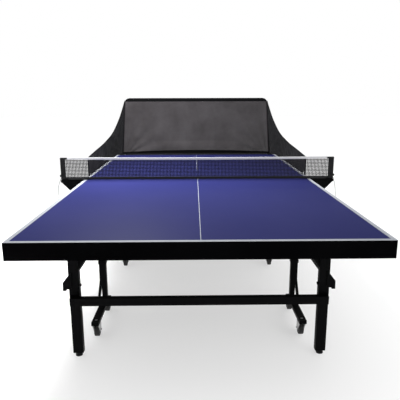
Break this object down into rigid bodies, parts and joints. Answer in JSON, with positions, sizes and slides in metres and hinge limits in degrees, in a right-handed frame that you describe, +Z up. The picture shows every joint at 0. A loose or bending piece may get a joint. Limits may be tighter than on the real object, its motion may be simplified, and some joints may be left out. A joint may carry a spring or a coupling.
{
  "type": "ping pong table",
  "caption": "Folding ping pong table: blue halves on rolling trolleys, black legs and aprons, clamped net, and a ball catch net round the far end.",
  "frame": {"origin": "centre of the footprint box on the floor", "axes": "+Z up, +Y along the table towards the catch net, +X across to the right seen from the near end"},
  "size_m": [1.901, 2.802, 1.292],
  "materials": {
    "board": "satin blue playing surface with white lines",
    "black_steel": "satin black powder coat",
    "zinc": "zinc plated",
    "black_plastic": "moulded",
    "tyre": "rubber",
    "net": "knotted mesh",
    "tape": "woven tape",
    "string": "braided cord",
    "catch_cloth": "fine polyester mesh"
  },
  "bodies": {
    "near_trolley": {"near_trolley": "black_steel", "near_trolley_bolts": "zinc"},
    "near_top": {"near_top_panel": "board", "near_apron": "black_steel", "near_underframe": "black_steel", "near_leg_pins": "zinc"},
    "near_legs": {"near_leg_frame": "black_steel", "near_link_bolts": "black_steel"},
    "near_link_right": {"near_link_right": "black_steel"},
    "near_foot_right": {"near_foot_right": "black_plastic"},
    "near_fork_right": {"near_fork_right": "zinc"},
    "near_caster_wheel_right": {"near_caster_wheel_right": "tyre"},
    "near_fixed_wheel_right": {"near_fixed_wheel_right": "tyre"},
    "near_brake_right": {"near_brake_right": "black_plastic"},
    "near_link_left": {"near_link_left": "black_steel"},
    "near_foot_left": {"near_foot_left": "black_plastic"},
    "near_fork_left": {"near_fork_left": "zinc"},
    "near_caster_wheel_left": {"near_caster_wheel_left": "tyre"},
    "near_fixed_wheel_left": {"near_fixed_wheel_left": "tyre"},
    "near_brake_left": {"near_brake_left": "black_plastic"},
    "far_trolley": {"far_trolley": "black_steel", "far_trolley_bolts": "zinc"},
    "far_top": {"far_top_panel": "board", "far_apron": "black_steel", "far_underframe": "black_steel", "far_leg_pins": "zinc", "net_mesh": "net", "net_hem": "net", "net_tape": "tape", "net_post_right": "black_plastic", "net_arm_right": "black_steel", "net_cord_right": "string", "catch_wing_right": "catch_cloth", "net_post_left": "black_plastic", "net_arm_left": "black_steel", "net_cord_left": "string", "catch_wing_left": "catch_cloth", "catch_frame": "black_steel", "catch_back": "catch_cloth", "catch_gutter": "catch_cloth", "catch_clamps": "black_plastic"},
    "far_legs": {"far_leg_frame": "black_steel", "far_link_bolts": "black_steel"},
    "far_link_right": {"far_link_right": "black_steel"},
    "far_foot_right": {"far_foot_right": "black_plastic"},
    "far_fork_right": {"far_fork_right": "zinc"},
    "far_caster_wheel_right": {"far_caster_wheel_right": "tyre"},
    "far_fixed_wheel_right": {"far_fixed_wheel_right": "tyre"},
    "far_brake_right": {"far_brake_right": "black_plastic"},
    "far_link_left": {"far_link_left": "black_steel"},
    "far_foot_left": {"far_foot_left": "black_plastic"},
    "far_fork_left": {"far_fork_left": "zinc"},
    "far_caster_wheel_left": {"far_caster_wheel_left": "tyre"},
    "far_fixed_wheel_left": {"far_fixed_wheel_left": "tyre"},
    "far_brake_left": {"far_brake_left": "black_plastic"},
    "net_screw_right": {"net_screw_right": "black_plastic"},
    "catch_screw_right": {"catch_screw_right": "black_plastic"},
    "net_screw_left": {"net_screw_left": "black_plastic"},
    "catch_screw_left": {"catch_screw_left": "black_plastic"}
  },
  "joints": [
    {"name": "near_fold", "type": "hinge", "parent": "near_trolley", "child": "near_top", "pos_m": [0, -0.51, 0.714], "axis": [-1, 0, 0], "range_deg": [0, 90]},
    {"name": "near_leg_fold", "type": "hinge", "parent": "near_top", "child": "near_legs", "pos_m": [0, -0.93, 0.714], "axis": [-1, 0, 0], "range_deg": [-90, 0]},
    {"name": "near_link_right_swing", "type": "hinge", "parent": "near_trolley", "child": "near_link_right", "pos_m": [0.661, -0.51, 0.386], "axis": [-1, 0, 0], "range_deg": [0, 90]},
    {"name": "near_foot_right_level", "type": "slide", "parent": "near_legs", "child": "near_foot_right", "axis": [0, 0, -1], "range_m": [0, 0.015]},
    {"name": "near_fork_right_swivel", "type": "hinge", "parent": "near_trolley", "child": "near_fork_right", "pos_m": [0.568, -0.755, 0.09], "axis": [0, 0, 1], "continuous": true},
    {"name": "near_caster_wheel_right_spin", "type": "hinge", "parent": "near_fork_right", "child": "near_caster_wheel_right", "pos_m": [0.568, -0.731, 0.0375], "axis": [1, 0, 0], "continuous": true},
    {"name": "near_fixed_wheel_right_spin", "type": "hinge", "parent": "near_trolley", "child": "near_fixed_wheel_right", "pos_m": [0.568, -0.422, 0.0375], "axis": [1, 0, 0], "continuous": true},
    {"name": "near_brake_right_press", "type": "hinge", "parent": "near_fork_right", "child": "near_brake_right", "pos_m": [0.568, -0.717, 0.079], "axis": [-1, 0, 0], "range_deg": [0, 15]},
    {"name": "near_link_left_swing", "type": "hinge", "parent": "near_trolley", "child": "near_link_left", "pos_m": [-0.661, -0.51, 0.386], "axis": [-1, 0, 0], "range_deg": [0, 90]},
    {"name": "near_foot_left_level", "type": "slide", "parent": "near_legs", "child": "near_foot_left", "axis": [0, 0, -1], "range_m": [0, 0.015]},
    {"name": "near_fork_left_swivel", "type": "hinge", "parent": "near_trolley", "child": "near_fork_left", "pos_m": [-0.568, -0.755, 0.09], "axis": [0, 0, 1], "continuous": true},
    {"name": "near_caster_wheel_left_spin", "type": "hinge", "parent": "near_fork_left", "child": "near_caster_wheel_left", "pos_m": [-0.568, -0.731, 0.0375], "axis": [1, 0, 0], "continuous": true},
    {"name": "near_fixed_wheel_left_spin", "type": "hinge", "parent": "near_trolley", "child": "near_fixed_wheel_left", "pos_m": [-0.568, -0.422, 0.0375], "axis": [1, 0, 0], "continuous": true},
    {"name": "near_brake_left_press", "type": "hinge", "parent": "near_fork_left", "child": "near_brake_left", "pos_m": [-0.568, -0.717, 0.079], "axis": [-1, 0, 0], "range_deg": [0, 15]},
    {"name": "far_fold", "type": "hinge", "parent": "far_trolley", "child": "far_top", "pos_m": [0, 0.45, 0.714], "axis": [1, 0, 0], "range_deg": [0, 90]},
    {"name": "far_leg_fold", "type": "hinge", "parent": "far_top", "child": "far_legs", "pos_m": [0, 0.87, 0.714], "axis": [1, 0, 0], "range_deg": [-90, 0]},
    {"name": "far_link_right_swing", "type": "hinge", "parent": "far_trolley", "child": "far_link_right", "pos_m": [0.661, 0.45, 0.386], "axis": [1, 0, 0], "range_deg": [0, 90]},
    {"name": "far_foot_right_level", "type": "slide", "parent": "far_legs", "child": "far_foot_right", "axis": [0, 0, -1], "range_m": [0, 0.015]},
    {"name": "far_fork_right_swivel", "type": "hinge", "parent": "far_trolley", "child": "far_fork_right", "pos_m": [0.568, 0.695, 0.09], "axis": [0, 0, 1], "continuous": true},
    {"name": "far_caster_wheel_right_spin", "type": "hinge", "parent": "far_fork_right", "child": "far_caster_wheel_right", "pos_m": [0.568, 0.671, 0.0375], "axis": [1, 0, 0], "continuous": true},
    {"name": "far_fixed_wheel_right_spin", "type": "hinge", "parent": "far_trolley", "child": "far_fixed_wheel_right", "pos_m": [0.568, 0.362, 0.0375], "axis": [1, 0, 0], "continuous": true},
    {"name": "far_brake_right_press", "type": "hinge", "parent": "far_fork_right", "child": "far_brake_right", "pos_m": [0.568, 0.657, 0.079], "axis": [1, 0, 0], "range_deg": [0, 15]},
    {"name": "far_link_left_swing", "type": "hinge", "parent": "far_trolley", "child": "far_link_left", "pos_m": [-0.661, 0.45, 0.386], "axis": [1, 0, 0], "range_deg": [0, 90]},
    {"name": "far_foot_left_level", "type": "slide", "parent": "far_legs", "child": "far_foot_left", "axis": [0, 0, -1], "range_m": [0, 0.015]},
    {"name": "far_fork_left_swivel", "type": "hinge", "parent": "far_trolley", "child": "far_fork_left", "pos_m": [-0.568, 0.695, 0.09], "axis": [0, 0, 1], "continuous": true},
    {"name": "far_caster_wheel_left_spin", "type": "hinge", "parent": "far_fork_left", "child": "far_caster_wheel_left", "pos_m": [-0.568, 0.671, 0.0375], "axis": [1, 0, 0], "continuous": true},
    {"name": "far_fixed_wheel_left_spin", "type": "hinge", "parent": "far_trolley", "child": "far_fixed_wheel_left", "pos_m": [-0.568, 0.362, 0.0375], "axis": [1, 0, 0], "continuous": true},
    {"name": "far_brake_left_press", "type": "hinge", "parent": "far_fork_left", "child": "far_brake_left", "pos_m": [-0.568, 0.657, 0.079], "axis": [1, 0, 0], "range_deg": [0, 15]},
    {"name": "far_trolley_roll", "type": "slide", "parent": "near_trolley", "child": "far_trolley", "axis": [0, 1, 0], "range_m": [0, 0.32]},
    {"name": "net_screw_right_back_off", "type": "slide", "parent": "far_top", "child": "net_screw_right", "axis": [0, 0, -1], "range_m": [0, 0.02]},
    {"name": "catch_screw_right_back_off", "type": "slide", "parent": "far_top", "child": "catch_screw_right", "axis": [0, 0, -1], "range_m": [0, 0.012]},
    {"name": "net_screw_left_back_off", "type": "slide", "parent": "far_top", "child": "net_screw_left", "axis": [0, 0, -1], "range_m": [0, 0.02]},
    {"name": "catch_screw_left_back_off", "type": "slide", "parent": "far_top", "child": "catch_screw_left", "axis": [0, 0, -1], "range_m": [0, 0.012]}
  ],
  "couplings": [
    {"joint": "near_leg_fold", "follows": "near_fold", "ratio": -1},
    {"joint": "near_link_right_swing", "follows": "near_fold", "ratio": 1},
    {"joint": "near_link_left_swing", "follows": "near_fold", "ratio": 1},
    {"joint": "far_leg_fold", "follows": "far_fold", "ratio": -1},
    {"joint": "far_link_right_swing", "follows": "far_fold", "ratio": 1},
    {"joint": "far_link_left_swing", "follows": "far_fold", "ratio": 1},
    {"joint": "far_trolley_roll", "follows": "far_fold", "m_per_rad": 0.2}
  ]
}
